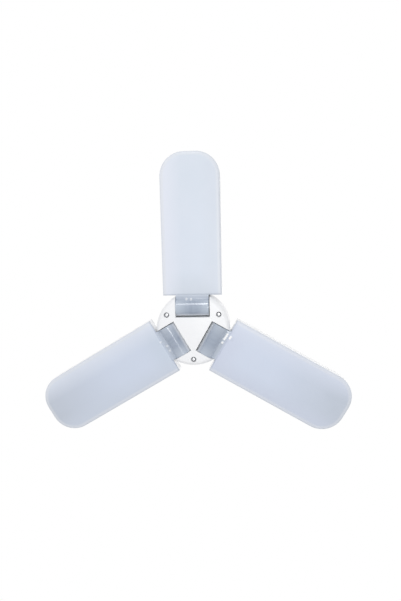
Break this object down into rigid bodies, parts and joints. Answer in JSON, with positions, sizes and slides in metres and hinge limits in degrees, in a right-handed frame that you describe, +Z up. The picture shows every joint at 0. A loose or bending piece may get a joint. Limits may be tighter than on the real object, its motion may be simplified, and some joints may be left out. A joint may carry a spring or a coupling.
{
  "type": "deformable garage light",
  "caption": "Screw-in ceiling light whose flat light blades hinge down from a round hub, to aim or fold the light.",
  "frame": {"origin": "centre of the screw cap's lower rim, where it meets the neck, on the lamp's axis", "axes": "+Z up along the screw cap into the lampholder; -Y along the first blade, the top one in the picture"},
  "size_m": [0.2128, 0.1886, 0.0695],
  "materials": {
    "nickel_plated_steel": "bright nickel plate",
    "black_insulator": "gloss",
    "brass_contact": "bright",
    "white_plastic": "fine satin",
    "screw_steel": "zinc plate",
    "green_board": "satin solder mask",
    "black_sleeve": "satin shrink sleeve",
    "copper_winding": "varnished",
    "black_package": "matt moulding",
    "red_film": "gloss dip",
    "tan_ceramic": "matt lacquer",
    "red_sleeve": "satin",
    "black_lead": "satin",
    "white_lead": "satin",
    "milky_polycarbonate": "milky, fine satin",
    "aluminium_plate": "satin",
    "grey_silicone": "matt",
    "white_board": "satin solder mask",
    "phosphor_chip": "satin"
  },
  "bodies": {
    "hub": {"screw_shell": "nickel_plated_steel", "cap_insulator": "black_insulator", "centre_contact": "brass_contact", "driver_housing": "white_plastic", "front_cover": "white_plastic", "cover_screws": "screw_steel", "driver_board": "green_board", "smoothing_capacitor": "black_sleeve", "choke_coil": "copper_winding", "bridge_rectifier": "black_package", "driver_chip": "black_package", "input_capacitor": "red_film", "sense_resistors": "black_package", "fuse_resistor": "tan_ceramic", "live_lead": "red_sleeve", "neutral_lead": "black_lead", "hub_lead_1": "white_lead", "hub_lead_2": "white_lead", "hub_lead_3": "white_lead"},
    "blade_1": {"diffuser_1": "milky_polycarbonate", "heat_plate_1": "aluminium_plate", "thermal_pad_1": "grey_silicone", "led_board_1": "white_board", "led_chips_1": "phosphor_chip", "plate_screws_1": "screw_steel", "hinge_pins_1": "screw_steel", "blade_lead_1": "white_lead"},
    "blade_2": {"diffuser_2": "milky_polycarbonate", "heat_plate_2": "aluminium_plate", "thermal_pad_2": "grey_silicone", "led_board_2": "white_board", "led_chips_2": "phosphor_chip", "plate_screws_2": "screw_steel", "hinge_pins_2": "screw_steel", "blade_lead_2": "white_lead"},
    "blade_3": {"diffuser_3": "milky_polycarbonate", "heat_plate_3": "aluminium_plate", "thermal_pad_3": "grey_silicone", "led_board_3": "white_board", "led_chips_3": "phosphor_chip", "plate_screws_3": "screw_steel", "hinge_pins_3": "screw_steel", "blade_lead_3": "white_lead"}
  },
  "joints": [
    {"name": "blade_1_fold", "type": "hinge", "parent": "hub", "child": "blade_1", "pos_m": [0, -0.015, -0.036], "axis": [1, 0, 0], "range_deg": [0, 90]},
    {"name": "blade_2_fold", "type": "hinge", "parent": "hub", "child": "blade_2", "pos_m": [0.01299, 0.0075, -0.036], "axis": [-0.5, 0.866, 0], "range_deg": [0, 90]},
    {"name": "blade_3_fold", "type": "hinge", "parent": "hub", "child": "blade_3", "pos_m": [-0.01299, 0.0075, -0.036], "axis": [-0.5, -0.866, 0], "range_deg": [0, 90]}
  ]
}
